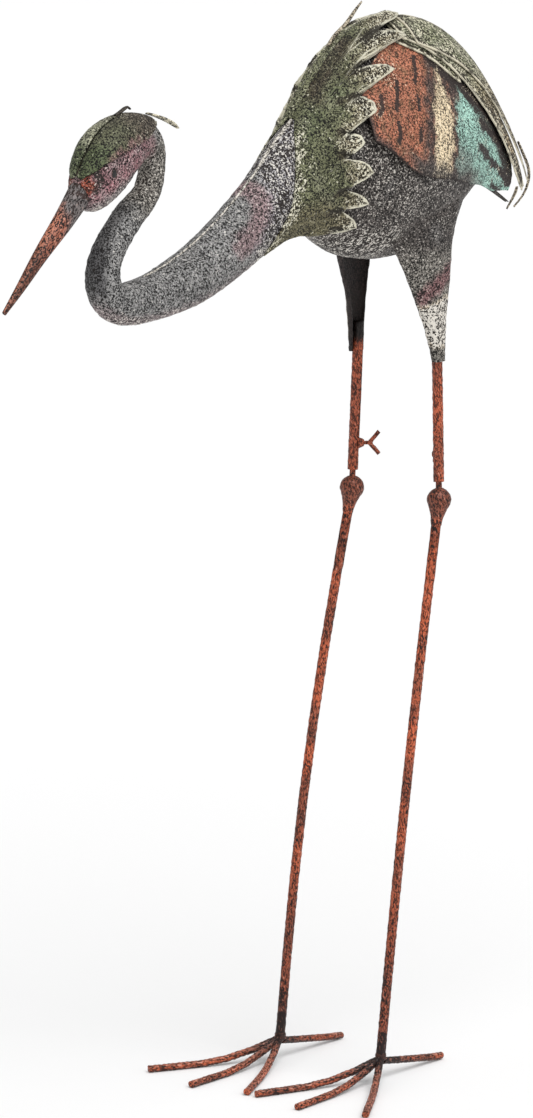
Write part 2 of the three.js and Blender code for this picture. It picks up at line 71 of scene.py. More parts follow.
# Under the lower edge of each leaf, from the notch inwards.
CAPE_FOLDS = [
    [(23, 178, 1041), (18, 161, 1037), (16, 140, 1029)],
    [(31, 130, 1010), (30, 116, 1005), (26, 104, 1003)],
    [(41, 109, 982), (37, 98, 979), (30, 90, 977)],
    [(44, 85, 947), (37, 81, 950)],
    [(50, 82, 926), (45, 74, 929)],
    [(48, 76, 893), (42, 67, 891)],
    [(43, 76, 872), (36, 64, 872)],
    [(38, 84, 853), (31, 74, 853)],
]
CAPE_TIPS = [(10, 208, 1047), (33, 191, 1030), (48, 153, 1002), (55, 115, 965), (55, 96, 937),
             (61, 102, 908), (55, 102, 876), (43, 99, 852)]
CAPE_SHOULDER = [(10, 120, 1012), (22, 80, 985), (28, 62, 950)]
CAPE_ROOT = [(2, 125, 1024), (2, 92, 1000), (8, 62, 968)]
CAPE_AXIS = (0, 80, 920)
CHEEK = [(14, -262, 934), (22, -242, 947), (24, -218, 957), (20, -194, 957)]
# Middle of the painted shade in the throat under the chin.
THROAT_SHADE = (3, -182, 923)
CROWN_FOOT = [(0, -276, 950), (0, -245, 976), (0, -205, 986)]
CROWN_FRONT = (16, -264, 951)
RED_PATCH = (11, -273, 934)
EYE_LINE = [(15, -264, 946), (18, -262, 938), (16, -267, 928)]
BEAK_SEAM = [(2, -288, 929), (7, -281, 927), (11, -277, 924), (13, -270, 920)]
BEAK_UP = (0, -0.86, 0.51)
EYE = (24, -248, 943)
NECK_BAND = [(7, -22, 900), (18, -21, 890), (23, -26, 878), (26, -36, 863), (25, -54, 853)]
BREAST = [(4, 40, 948), (8, 20, 930), (18, 10, 906), (25, 2, 884), (27, -6, 862), (22, -22, 846)]
NECK_SEAM = [(-176, 850), (-150, 852), (-123, 854), (-95, 866), (-66, 879), (-36, 896), (-7, 913),
             (15, 941), (34, 952), (50, 963)]
BELLY_SEAM = [(31, 100, 848), (35, 117, 841), (38, 138, 834), (40, 158, 832)]
BRUISE = [(58, 230, 795), (56, 218, 785), (53, 203, 776), (48, 194, 768)]
THIGH_OUTWARD = (0.99, -0.1)
WING_LOWER = [(51, 110, 958), (63, 117, 938), (72, 129, 922), (77, 163, 905), (76, 200, 894),
              (71, 243, 884), (62, 285, 873), (52, 326, 866), (42, 357, 855)]
WING_STROKES = [
    [(47, 157, 989), (54, 149, 976), (58, 142, 963)],
    [(38, 195, 1009), (45, 188, 996), (51, 180, 985)],
    [(57, 176, 974), (63, 171, 960)],
    [(47, 131, 978), (53, 127, 967), (54, 121, 961)],
    [(63, 139, 952), (67, 137, 940), (69, 132, 934)],
    [(69, 166, 945), (73, 160, 932)],
]
# Pale specks on the orange, with the distances at which they fade.
WING_SPECKS = [((40, 150, 1000), 8, 24), ((52, 118, 968), 5, 14)]
# Across the bands of colour, and across the strokes dragged over the teal.
BAND_COURSE = (0.788, 0.616, 0)
STROKE_COURSE = (0, 0.5, 0.866)
# Middle and half width of each dragged stroke, the y where it starts, and its strength.
TEAL_STROKES = [(966, 9.5, 242, 1.8), (945, 5.5, 254, 1.6), (921, 5, 246, 1.5),
                (905, 4, 288, 1.2)]
MANTLE_EDGE = [(37, 206, 1022), (41, 219, 1011), (48, 234, 996), (56, 250, 980), (61, 266, 957),
               (65, 287, 931), (61, 314, 904), (57, 330, 880)]
# The leg's heights, with the distances at which its collars fade, and the hub of the toes.
KNEE_HEIGHT = 567
COLLARS = [(544, 5, 11), (580, 3, 7)]
TUBE_FOOT = (590, 605)
HUB = (63, 115)
# A distance in millimetres at which no line is drawn.
FAR = 30.0
# Vertices closer than this are one, and faces within these angles join to quads.
SAME_PLACE = 2e-6
FLAT_WITHIN, SQUARE_WITHIN = math.radians(35), math.radians(60)
QUARTER_TURN = Matrix.Rotation(math.radians(90), 3, "X")
GREY = "Hammered grey enamel"
GREEN = "Sponged green enamel"
BANDED = "Banded wing enamel"
SAGE = "Sage dragged enamel"
COPPER = "Copper rust enamel"
LACQUER = "Rust lacquer on rod"
BLACK = "Black eye enamel"


def linear(code):
    """An sRGB hex colour as linear red, green and blue."""
    channels = (int(code[i:i + 2], 16) / 255 for i in (0, 2, 4))
    return tuple(c / 12.92 if c <= 0.04045 else ((c + 0.055) / 1.055) ** 2.4 for c in channels)


def colour(name, description, code):
    return FloatVectorProperty(
        name=name, description=description, subtype="COLOR", size=3, min=0, max=1,
        default=linear(code))


def number(name, description, default, **more):
    return FloatProperty(name=name, description=description, default=default, **more)


def length(name, description, default):
    return number(name, description, default, min=0, subtype="DISTANCE", unit="LENGTH")


def detail(name, description):
    return IntProperty(name=name, description=description, default=3, min=1, max=4)


class CraneSizes(PropertyGroup):
    """Sizes of the surface and of the small pieces."""
    dab: length("Dab", "Width of one fleck of the sponged paint", 0.0017)
    mottle: length("Mottle", "Width of the larger uneven patches", 0.011)
    hammer: length("Hammer depth", "Depth of the fine hammered texture", 0.0006)
    dent: length("Dents", "Depth of the dents in the sheet", 0.0004)
    rim_line: length("Rim line", "Width of the pale line along rims", 0.0014)
    drawn_line: length("Drawn line", "Width of the dark lines in seams and under leaves", 0.0022)
    tip_brush: length("Tip brush", "How far the pale brushing reaches in from a leaf tip", 0.036)
    lap: length("Lap", "How far a leaf of the cape stands over the one under it", 0.0014)
    eye_height: length("Eye height", "Height of the eye's oval", 0.0082)
    eye_width: length("Eye width", "Width of the eye's oval", 0.0050)
    eye_bulge: length("Eye bulge", "Thickness of the drop of enamel", 0.0022)
    eye_wire: length("Eye wire", "Radius of the rim round the eye", 0.00045)
    seam: length("Seam", "Width of the pinched seam on top of the neck", 0.0020)
    notch: length("Toe notches", "Spacing of the notches in the toes", 0.0042)
    weld: length("Weld", "Radius of the lump of weld under a leg", 0.0056)
    skin_levels: detail("Skin smoothing", "Subdivision levels of the body")
    leaf_levels: detail("Leaf smoothing", "Subdivision levels of the feathers")


class CranePaints(PropertyGroup):
    """Colours of the paint, dab by dab."""
    steel: colour("Steel grey", "Main grey of neck and body", "71706f")
    warm: colour("Warm grey", "Upper neck and thighs", "69655f")
    plum: colour("Plum grey", "Darker grey of the flanks", "46413e")
    lavender: colour("Lavender", "Cool tint of the breast", "74717c")
    mauve: colour("Mauve", "Cheek and the foot of the neck", "7a565a")
    red: colour("Red", "Patch before the eye", "74392a")
    cuff: colour("Cuff", "Lower end of the thighs", "625e58")
    # Bare inside of the thigh shells, darkened further as painted shade.
    inside: colour("Inside", "Inside of the thigh shells", "1d1311")
    moss: colour("Moss green", "Cape feathers", "54563f")
    # Painted shade at the root of the cape and under its leaves.
    bark: colour("Bark brown", "Shaded root of the cape", "372f23")
    olive: colour("Olive", "Crown", "4b4c3a")
    leaf: colour("Leaf green", "Front of crown and cape", "424a31")
    sage: colour("Sage", "Paler crown and mantle", "858571")
    orange: colour("Burnt orange", "Front band of the wing", "965f49")
    slate: colour("Slate", "Gaps between the wing's bands", "4b3c37")
    sand: colour("Sand", "Cream band of the wing", "c4b294")
    teal: colour("Teal", "Rear band of the wing", "88aa9e")
    cream: colour("Cream", "Dry-brushed plumes and rims", "b9b29c")
    copper: colour("Copper rust", "Beak", "85503f")
    rust: colour("Rust", "Legs and toes", "994b30")
    soot: colour("Soot", "Paint left dark in the hollows", "241e1b")
    chalk: colour("Chalk", "Pale paint on the high spots", "d9d4cb")
    pupil: colour("Pupil", "Black enamel of the eye", "0c0b0b")


# Paint on the vertices: each piece gets its colour, how much pale paint is brushed on it and how
# much dark is left in it.


def smoothed(value):
    value = np.clip(value, 0, 1)
    return value * value * (3 - 2 * value)


def fade(distance, inner, outer):
    """One up to the inner distance, falling to nothing at the outer one."""
    return smoothed((outer - distance) / (outer - inner))


def rise(value, low, high):
    return smoothed((value - low) / (high - low))


def ragged(points, size):
    """Smooth unevenness from -1 to 1 with swells about size millimetres wide."""
    x, y, z = (points / size * math.pi).T
    first = np.sin(x + 1.7 * np.sin(0.8 * y + 0.4 * z))
    second = np.sin(1.3 * y + 1.9 * np.sin(0.7 * z - 0.5 * x))
    third = np.sin(0.9 * z + 1.6 * np.sin(1.1 * x + 0.3 * y))
    return (first + second + third) / 3


def clumps(points):
    """Unevenness a few dabs wide, where pale paint sits in thick clumps."""
    return 0.6 * ragged(points, 3.6) + 0.6 * ragged(points[:, ::-1], 2.6)


def mirrored(points):
    return np.abs(points * (1, 0, 0)) + points * (0, 1, 1)


def from_point(points, place):
    return np.linalg.norm(points - np.array(place, float), axis=1)


def from_line(points, line, weights=(1, 1, 1)):
    """Distance from a line of straight runs, with the axes weighed."""
    points, line = points * weights, np.array(line, float) * weights
    nearest = np.full(len(points), np.inf)
    for start, end in zip(line, line[1:]):
        run = end - start
        share = np.clip(((points - start) @ run) / (run @ run), 0, 1)
        gap = np.linalg.norm(points - start - share[:, None] * run, axis=1)
        nearest = np.minimum(nearest, gap)
    return nearest


def hue(tint):
    """Linear red, green and blue of a paint of the panel or of a hex colour."""
    paints = bpy.context.scene.crane_paints
    return np.array(getattr(paints, tint) if hasattr(paints, tint) else linear(tint), float)


def layered(points, ground, *layers):
    """A ground colour on every vertex, with tints laid over it in turn by their masks."""
    paint = np.tile(hue(ground), (len(points), 1))
    for tint, mask in layers:
        paint += (hue(tint) - paint) * np.clip(mask, 0, 1).reshape(-1, 1)
    return paint


def vectors(mesh, field):
    values = np.empty(len(mesh.vertices) * 3)
    mesh.vertices.foreach_get(field, values)
    return values.reshape(-1, 3)


def coordinates(mesh):
    """Places of the vertices in millimetres."""
    return vectors(mesh, "co") * 1000


def normals(mesh):
    return vectors(mesh, "normal")


def hollows(mesh, rounds=14):
    """How many millimetres each vertex lies under its evened-out surroundings."""
    points = coordinates(mesh)
    ends = np.empty(len(mesh.edges) * 2, int)
    mesh.edges.foreach_get("vertices", ends)
    left, right = ends.reshape(-1, 2).T
    degree = np.maximum(np.bincount(ends, minlength=len(points)), 1)
    even = points.copy()
    for _ in range(rounds):
        total = [
            np.bincount(left, even[right, k], len(points))
            + np.bincount(right, even[left, k], len(points))
            for k in range(3)]
        even = np.stack(total, 1) / degree[:, None]
    return ((even - points) * normals(mesh)).sum(1)


def rim_distance(mesh, turn=50):
    """Distance in millimetres of each vertex from the nearest sharp rim."""
    shape = bmesh.new()
    shape.from_mesh(mesh)
    limit = math.radians(turn)
    rim = {v.index for e in shape.edges if e.calc_face_angle(0) > limit for v in e.verts}
    shape.free()
    if not rim:
        return np.full(len(mesh.vertices), FAR)
    tree = KDTree(len(rim))
    for count, index in enumerate(sorted(rim)):
        tree.insert(mesh.vertices[index].co, count)
    tree.balance()
    return np.array([tree.find(v.co)[2] for v in mesh.vertices]) * 1000


def rod_coordinates(points, cuts=24):
    """Place across and along a bent rod, from the middle of its slices."""
    run = int(np.argmax(points.max(0) - points.min(0)))
    slices = np.linspace(points[:, run].min(), points[:, run].max(), cuts)
    which = np.clip(np.digitize(points[:, run], slices), 1, cuts - 1)
    centres = (slices[1:] + slices[:-1]) / 2
    result = np.zeros_like(points)
    for place, axis in enumerate(k for k in range(3) if k != run):
        middle = np.array([
            points[which == k, axis].mean() if (which == k).any() else np.nan
            for k in range(1, cuts)])
        known = ~np.isnan(middle)
        line = np.interp(points[:, run], centres[known], middle[known])
        result[:, place] = points[:, axis] - line
    result[:, 2] = points[:, run]
    return result / 1000


def store(mesh, name, kind, field, values):
    attribute = mesh.attributes.new(name, kind, "POINT")
    attribute.data.foreach_set(field, np.ascontiguousarray(values, np.float32).ravel())


def coat(mesh, paint, brush, soot, line=FAR, rim=FAR):
    """Writes the paint of a piece on its vertices.

    The values are its colour, the pale brushing, the dark, and the distances in millimetres from
    drawn dark lines and from rims that carry a pale line.
    """
    count = len(mesh.vertices)
    store(mesh, "Paint", "FLOAT_COLOR", "color", np.c_[paint, np.ones(count)])
    for name, values in (("Brush", brush), ("Soot", soot), ("Line", line), ("Rim", rim)):
        store(mesh, name, "FLOAT", "value", np.broadcast_to(values, count))


def plain_coat(mesh, tint, brush=0.2, soot=0.2):
    """One colour with even brushing, for the small pieces."""
    coat(mesh, layered(mesh.vertices, tint), brush, soot)


# Meshes


def shift(mesh, away):
    """Moves every vertex by a vector in millimetres."""
    moved = (coordinates(mesh) + away) / 1000
    mesh.vertices.foreach_set("co", moved.astype(np.float32).ravel())
    mesh.update()


def evaluated(piece):
    bpy.context.view_layer.update()
    seen = piece.evaluated_get(bpy.context.evaluated_depsgraph_get())
    return bpy.data.meshes.new_from_object(seen)


def fill(mesh, shape):
    """Writes a finished shape into a mesh, smooth."""
    for face in shape.faces:
        face.smooth = True
    shape.to_mesh(mesh)
    shape.free()


def placed(name, data):
    piece = bpy.data.objects.new(name, data)
    bpy.context.scene.collection.objects.link(piece)
    return piece


def smooth_copy(name, node, levels, crease_over=42, run=None):
    """A smooth skin over a solid of the frame.

    Its faces are joined to quads and its rims kept sharp. Smoothing draws corners in, so they are
    first moved out by as much, and the skin passes through them. Run cuts a rod into lengths of
    that many millimetres.
    """
    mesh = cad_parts[node].data.copy()
    mesh.name = name
    mesh.materials.clear()
    shape = bmesh.new()
    shape.from_mesh(mesh)
    bmesh.ops.remove_doubles(shape, verts=shape.verts, dist=SAME_PLACE)
    bmesh.ops.join_triangles(
        shape, faces=shape.faces, angle_face_threshold=FLAT_WITHIN,
        angle_shape_threshold=SQUARE_WITHIN)
    if run:
        groups = {}
        for edge in shape.edges:
            runs = edge.calc_length() * 1000 / run
            if runs > 2.5:
                groups.setdefault(round(runs), []).append(edge)
        for pieces, edges in groups.items():
            bmesh.ops.subdivide_edges(shape, edges=edges, cuts=pieces - 1, use_grid_fill=True)
    crease = shape.edges.layers.float.new("crease_edge")
    for edge in shape.edges:
        if edge.calc_face_angle(0) > math.radians(crease_over):
            edge[crease] = 1
    fill(mesh, shape)
    piece = placed(name, mesh)
    skin = piece.modifiers.new("Skin", "SUBSURF")
    skin.levels = skin.render_levels = levels
    skin.use_limit_surface = False
    drawn_in = coordinates(mesh) - coordinates(evaluated(piece))[:len(mesh.vertices)]
    shift(mesh, drawn_in)
    piece.data = evaluated(piece)
    piece.data.name = name
    piece.modifiers.clear()
    return piece


def beat(mesh, depth, size):
    """Dents the sheet by up to a depth, with dents about size millimetres wide."""
    points = coordinates(mesh)
    dents = ragged(points, size) + 0.6 * ragged(points[:, ::-1], 0.6 * size)
    shift(mesh, normals(mesh) * (1000 * depth * dents)[:, None])


def dented(share, size):
    """Relief for dress: a share of the dents' depth, with dents about size millimetres wide."""
    depth = share * bpy.context.scene.crane_sizes.dent
    return lambda mesh: beat(mesh, depth, size)


def lap_leaves(mesh, lap):
    """Lets each leaf of a cape stand over the one under it along its fold."""
    points = coordinates(mesh)
    right = points[:, 0].mean() < 0
    flat = mirrored(points)
    away = (flat - CAPE_AXIS) * (1, 0, 1)
    away /= np.linalg.norm(away, axis=1)[:, None]
    along = np.zeros(len(points))
    for fold in CAPE_FOLDS:
        start, end = np.array(fold[0], float), np.array(fold[-1], float)
        middle = (start + end) / 2
        near = from_line(flat, fold)
        up = np.cross(start - end, middle - CAPE_AXIS)
        above = np.sign((flat - middle) @ (up * np.sign(up[2])))
        along += 0.5 * above * fade(near, 0.5, 11) * rise(near, 0, 1.2)
    step = away * (1000 * lap * along)[:, None]
    shift(mesh, step * ((-1, 1, 1) if right else (1, 1, 1)))


def notch_rod(mesh, spacing, depth=0.3):
    """Rolls shallow notches across a rod at a spacing, and lets it run a little uneven."""
    points = coordinates(mesh)
    along = rod_coordinates(points)[:, 2] * 1000
    ridges = np.sin(2 * math.pi * (along + 1.2 * ragged(points, 9)) / (1000 * spacing))
    shift(mesh, normals(mesh) * (depth * (ridges * 0.6 + ragged(points, 5)))[:, None])


def keep_inside(mesh):
    """Draws back what the relief lifts past the box of the solids or under the ground."""
    low, high = (np.array(corner) * 1000 for corner in CAD_BOX)
    points = coordinates(mesh)
    shift(mesh, np.clip(points, low, high) - points)


def settle(piece, slot, finish, *nodes):
    """Gives a finished piece its paint and its place in the frame."""
    piece.data.materials.clear()
    piece.data.materials.append(stock(finish))
    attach(piece, "root")
    if nodes:
        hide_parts(*nodes)


def new_piece(name, shape):
    mesh = bpy.data.meshes.new(name)
    fill(mesh, shape)
    return placed(name, mesh)


def stand(shape, turn, spot):
    """Turns a shape at the origin and moves it to its spot."""
    bmesh.ops.rotate(shape, verts=shape.verts, matrix=turn)
    bmesh.ops.translate(shape, verts=shape.verts, vec=spot)


def body_skin():
    """The dressed body, to find the places of what sits on it."""
    body = bpy.data.objects["pressed_body"]
    return BVHTree.FromObject(body, bpy.context.evaluated_depsgraph_get())


# Materials


def add(tree, kind, inputs=None, **settings):
    """Adds a shader node with its settings, values and links."""
    made = tree.nodes.new("ShaderNode" + kind)
    for key, value in settings.items():
        setattr(made, key, value)
    for key, value in (inputs or {}).items():
        if isinstance(value, bpy.types.NodeSocket):
            tree.links.new(value, made.inputs[key])
        else:
            made.inputs[key].default_value = value
    return made


def blank(name):
    """A material without nodes, and its tree."""
    material = bpy.data.materials.new(name)
    material.use_nodes = True
    material.node_tree.nodes.clear()
    return material, material.node_tree


def surfaced(tree, inputs):
    surface = add(tree, "BsdfPrincipled", inputs)
    add(tree, "OutputMaterial", {"Surface": surface.outputs[0]})


def dabbed_paint(name, dark, pale, contrast=0.97, gloss=0.55, relief=None, dab=None, wound=None,
                 dragged=None):
    """Sheet metal sponged with two or three oil paints over a finely hammered ground.

    The flecks are worm-like and one dab wide. Where paint is brushed on, the high ones turn pale,
    and where it is left dark, the low ones turn dark. Wound draws them out along a rod by a
    factor and winds them round it, by radians a metre. Dragged draws them out by a factor down
    feathers that slope by degrees.
    """
    sizes = bpy.context.scene.crane_sizes
    drawn, rim = 1000 * sizes.drawn_line, 1000 * sizes.rim_line
    dark, pale = (*hue(dark), 1), (*hue(pale), 1)
    material, tree = blank(name)

    def painted(attribute, output="Fac"):
        return add(tree, "Attribute", attribute_name=attribute).outputs[output]

    def maths(operation, *values):
        return add(tree, "Math", dict(enumerate(values)), operation=operation).outputs[0]

    def ramp(*span):
        """The value, its low and high, and what they become."""
        span = dict(enumerate(span))
        return add(tree, "MapRange", span, interpolation_type="SMOOTHSTEP").outputs[0]

    def over(mask, under, upper):
        mix = {0: mask, 6: under, 7: upper}
        return add(tree, "Mix", mix, data_type="RGBA").outputs[2]

    def mapped(vector, **change):
        return add(tree, "Mapping", {"Vector": vector, **change}).outputs[0]

    def noise(**inputs):
        return add(tree, "TexNoise", {"Vector": place, **inputs}).outputs["Fac"]

    if wound:
        stretch, twist = wound
        rod = painted("Rod", "Vector")
        along = add(tree, "SeparateXYZ", {0: rod}).outputs["Z"]
        turned = {"Vector": rod, "Angle": maths("MULTIPLY", along, twist)}
        place = add(tree, "VectorRotate", turned, rotation_type="Z_AXIS").outputs[0]
        place = mapped(place, Scale=(1, 1, 1 / stretch))
    else:
        place = add(tree, "TexCoord").outputs["Object"]
    if dragged:
        stretch, slope = dragged
        place = mapped(place, Rotation=(math.radians(slope), 0, 0))
        place = mapped(place, Scale=(1, 1 / stretch, 1))
    flecks = noise(Scale=1 / (dab or sizes.dab), Detail=1.0, Roughness=0.5, Distortion=0.8)
    mottles = noise(Scale=1 / sizes.mottle, Detail=2.0, Roughness=0.6)
    swells = noise(Scale=0.25 / sizes.mottle, Detail=1.0)
    level = maths("SUBTRACT", maths("MULTIPLY_ADD", mottles, 0.18, flecks), 0.09)
    tone = ramp(level, 0.41, 0.60, 1 - contrast, 1 + contrast)
    tone = maths("MULTIPLY", tone, ramp(swells, 0.3, 0.7, 0.9, 1.1))
    ground = add(tree, "VectorMath", {0: painted("Paint", "Color"), 3: tone}, operation="SCALE")
    low = maths("MULTIPLY_ADD", painted("Soot"), -0.27, level)
    shaded = over(ramp(low, 0.23, 0.17, 0.0, 0.95), ground.outputs[0], dark)
    high = maths("MULTIPLY_ADD", painted("Brush"), 0.27, level)
    brushed = over(ramp(high, 0.76, 0.81, 0.0, 0.94), shaded, pale)
    jitter = maths("MULTIPLY_ADD", flecks, 5.0, -2.5)
    edge = ramp(maths("ADD", painted("Rim"), jitter), 1.5 * rim, 0.6 * rim, 0.0, 0.9)
    broken = maths("MULTIPLY", edge, ramp(mottles, 0.34, 0.5, 0.25, 1.0))
    rimmed = over(broken, brushed, pale)
    seam = ramp(maths("ADD", painted("Line"), jitter), drawn, 0.35 * drawn, 0.0, 0.93)
    done = over(seam, rimmed, dark)
    rough = ramp(level, 0.35, 0.65, gloss + 0.18, gloss - 0.06)
    bump = add(tree, "Bump", {
        "Strength": 0.7, "Distance": relief or sizes.hammer, "Height": level}).outputs[0]
    surfaced(tree, {"Base Color": done, "Roughness": rough, "Normal": bump, "IOR": 1.5,
                    "Specular IOR Level": 0.3})
    return material


def gloss_enamel(name, tint):
    """Brushed-on enamel: smooth, nearly black, with a soft shine and faint brush drag."""
    material, tree = blank(name)
    place = add(tree, "TexCoord").outputs["Object"]
    drag = add(tree, "TexNoise", {"Vector": place, "Scale": 900.0, "Detail": 2.0}).outputs["Fac"]
    rough = add(tree, "MapRange", {0: drag, 1: 0.3, 2: 0.7, 3: 0.25, 4: 0.45}).outputs[0]
    lighter = np.minimum(1, tint * 2.2 + 0.004)
    tone = add(tree, "Mix", {0: drag, 6: (*tint, 1), 7: (*lighter, 1)}, data_type="RGBA").outputs[2]
    bump = add(tree, "Bump", {"Strength": 0.3, "Distance": 0.0002, "Height": drag}).outputs[0]
    surfaced(tree, {"Base Color": tone, "Roughness": rough, "Normal": bump})
    return material


def stock(name):
    """The statue's finishes, made once and shared by its pieces."""
    made = bpy.data.materials.get(name)
    if made:
        return made
    if name == BLACK:
        # A single drop of black gloss paint.
        return gloss_enamel(name, hue("pupil"))
    finishes = {
        # Grey oil paint sponged over black on beaten sheet: salt-and-pepper flecks, satin.
        GREY: {"dark": "soot", "pale": "chalk"},
        # Moss green over dark brown, its rims dragged with cream: dull and close-textured.
        GREEN: {"dark": "221e15", "pale": "dcd8c4", "gloss": 0.6},
        # Orange, cream and teal rubbed over pressed grooves, with black brush strokes on them.
        BANDED: {"dark": "2c2422", "pale": "ddd0b6", "contrast": 0.8},
        # Thin sage dragged down each feather over brown, nearly white where its rim caught it.
        SAGE: {"dark": "2b261c", "pale": "e0d9c2", "gloss": 0.6, "dragged": (1.5, 42)},
        # Burnt copper paint over black: smoother than the body, with long dark mottles.
        COPPER: {"dark": "2c1a14", "pale": "c99c88", "gloss": 0.45, "dragged": (1.8, -45)},
        # Red-brown lacquer wiped off black bar: dark flecks drawn out along it, low shine.
        LACQUER: {"dark": "1d1210", "pale": "c08a78", "contrast": 0.75, "gloss": 0.4,
                  "relief": 0.0008, "dab": 0.0015, "wound": (2.2, 30.0)},
    }
    return dabbed_paint(name, **finishes[name])


# Paint schemes: each takes a mesh and how far its vertices are from a sharp rim, and writes the
# colour, the brushing, the dark and the drawn lines of one piece.


def paint_body(mesh, rim):
    """Flecked grey with a mauve cheek, pale garters and dark thigh shells, partly painted shade,
    and painted shade at the throat.
    """
    raw = coordinates(mesh)
    exact = mirrored(raw)
    points = exact + 4 * ragged(exact, 24)[:, None]
    facing = normals(mesh)
    x, y, z = points.T
    before_cape = 1 - rise(y, 62, 97)
    upper_neck = fade(np.hypot(y + 163, z - 925), 28, 60) * before_cape
    # Painted shade on the front of the neck under the head, on faces turned forward: darker grey,
    # less pale brushing and more dark flecks.
    shaded_throat_front = fade(facing[:, 1], -0.85, -0.35) * fade(y, -205, -180) * fade(z, 905, 925)
    # Dark olive on the body in the gap between the crown sheets: the crown's colour, darkened as
    # painted shade.
    under_crown = fade(from_line(exact, CROWN_FOOT), 6, 10)
    cheek = fade(from_line(points, CHEEK), 11, 24) * (0.8 + 0.3 * ragged(points, 14))
    red = fade(from_point(exact, RED_PATCH) + 2.5 * ragged(exact, 6), 5, 12)
    black = fade(from_line(exact, EYE_LINE), 2, 7)
    band = fade(from_line(points, NECK_BAND) + 3 * ragged(points, 7), 6, 18) * before_cape
    breast = fade(from_line(points, BREAST), 13, 23) * before_cape * (1 - 0.6 * band)
    chest_rim = fade(facing[:, 2], -0.8, -0.3) * rise(y, -300, -250) * before_cape
    behind = rise(y, 55, 90)
    belly = behind * fade(z, 834, 853) * fade(y, 150, 178)
    bruise = fade(from_line(points, BRUISE) + 2 * ragged(exact, 7), 4, 12)
    top = 771 - 0.35 * np.clip(228 - y, 0, 30)
    garter = rise(z, 717, 725) * fade(z, top - 3, top + 3) * (1 - bruise)
    # Dark inside of the thigh shells, partly bare metal and partly painted shade. On the right
    # thigh it also reaches over the front of the outer face, where it is painted shade only.
    outward = np.c_[facing[:, 0] * np.sign(raw[:, 0]), facing[:, 1]] @ THIGH_OUTWARD
    reach = np.where(raw[:, 0] < 0, 0.78, -0.06)
    inside = rise(reach - outward, 0.0, 0.12)
    inside *= fade(raw[:, 2], 812, 824) * rise(raw[:, 1], 165, 178)
    paint = layered(
        points, "steel",
        ("warm", upper_neck),
        ("393839", 0.9 * shaded_throat_front * rise(z, 815, 835)),
        ("3a3a2c", under_crown),
        ("mauve", cheek),
        ("red", red),
        ("2f1c18", 0.6 * black),
        ("mauve", 0.5 * band),
        ("lavender", 0.4 * breast),
        ("mauve", 0.35 * chest_rim * (1 - breast)),
        ("plum", behind),
        ("steel", 0.35 * behind * rise(ragged(points, 40), 0.2, 0.9)),
        ("warm", 0.3 * belly),
        ("warm", fade(z, 806, 830) * rise(y, 165, 180)),
        ("6a4a4b", 0.9 * bruise),
        ("cdbca2", 0.95 * garter),
        ("cuff", fade(z, 717, 723)),
        ("inside", inside))
    depth = hollows(mesh)
    thick = 0.8 * clumps(exact) * np.clip(breast + belly + garter, 0, 1)
    brush = (0.15 + 0.3 * upper_neck - 0.5 * shaded_throat_front + 0.35 * chest_rim + 0.1 * behind
             + 0.42 * breast * (0.75 + 0.25 * rise(x, 2, 12)) + 0.22 * belly + 0.95 * garter
             - 4 * inside + np.clip(-0.5 * depth, 0, 0.3) + thick)
    soot = (0.2 + 0.15 * ragged(points, 30) + 0.25 * shaded_throat_front + 1.1 * black + breast
            # Dark flecks round the throat under the chin are painted shade.
            + 0.85 * fade(from_point(exact, THROAT_SHADE), 6, 20)
            + 0.35 * cheek * rise(ragged(points, 9), -0.2, 0.6) + 0.2 * behind + 1.15 * belly
            + 0.8 * garter + np.clip(0.8 * depth, 0, 0.5) - thick)
    line = np.minimum(from_line(exact, BELLY_SEAM), from_line(exact, BEAK_SEAM) - 0.8)
    coat(mesh, paint, brush, soot, line=line)


def paint_beak(mesh, rim):
    """Copper, paler on top as a painted highlight, dark beneath as painted shade, and dark towards
    its grey root.
    """
    points = coordinates(mesh)
    upward = normals(mesh) @ BEAK_UP
    along = points[:, 1] + 5 * ragged(points, 12)
    root = rise(along, -304, -292)
    dark = fade(along, -345, -305)
    paint = layered(
        points, "copper",
        ("46291f", 0.85 * dark),
        ("56504f", root),
        # Painted highlight on the faces turned up, and painted shade on the faces turned down.
        ("a0664f", 0.5 * rise(upward, 0.55, 0.9) * (1 - root) * (1 - 0.4 * dark)),
        ("2c1a14", 0.8 * rise(-upward, 0.5, 0.8)))
    thick = 0.4 * clumps(points)
    soot = (0.3 + 0.3 * dark + 0.35 * ragged(points, 14) + 0.3 * root
            + np.clip(3 * hollows(mesh), 0, 1) - thick)
    coat(mesh, paint, 0.3 - 0.3 * root - 0.1 * dark + thick, soot,
         line=from_line(mirrored(points), BEAK_SEAM) - 0.6)


def paint_crown(mesh, rim):
    """Olive, green in front, brown behind and mauve at the cheek. The right one is painted paler,
    as painted light.
    """
    points = coordinates(mesh)
    flat = mirrored(points)
    # The right crown is painted paler and more brushed: painted light.
    painted_lit_right = points[:, 0].mean() < 0
    y = points[:, 1]
    back = rise(y + 7 * ragged(points, 14), -246, -200)
    cheek = fade(from_line(flat, CHEEK) + 4 * ragged(points, 7), 9, 19)
    paint = layered(
        points, "sage" if painted_lit_right else "olive",
        ("olive", 0.45 * painted_lit_right * rise(ragged(points, 20), -0.4, 0.6)),
        ("leaf", 0.9 * fade(from_point(flat, CROWN_FRONT), 14, 30)),
        ("443c35", 0.9 * back),
        ("mauve", 0.75 * cheek * rise(y, -262, -245)))
    brush = (0.15 * painted_lit_right + 0.2 * rise(ragged(points, 16), 0, 0.8) + 0.3 * back
             + 0.4 * fade(rim, 1, 4) * rise(ragged(points, 7), -0.2, 0.5))
    coat(mesh, paint, brush, 0.3 + 0.25 * ragged(points, 18))


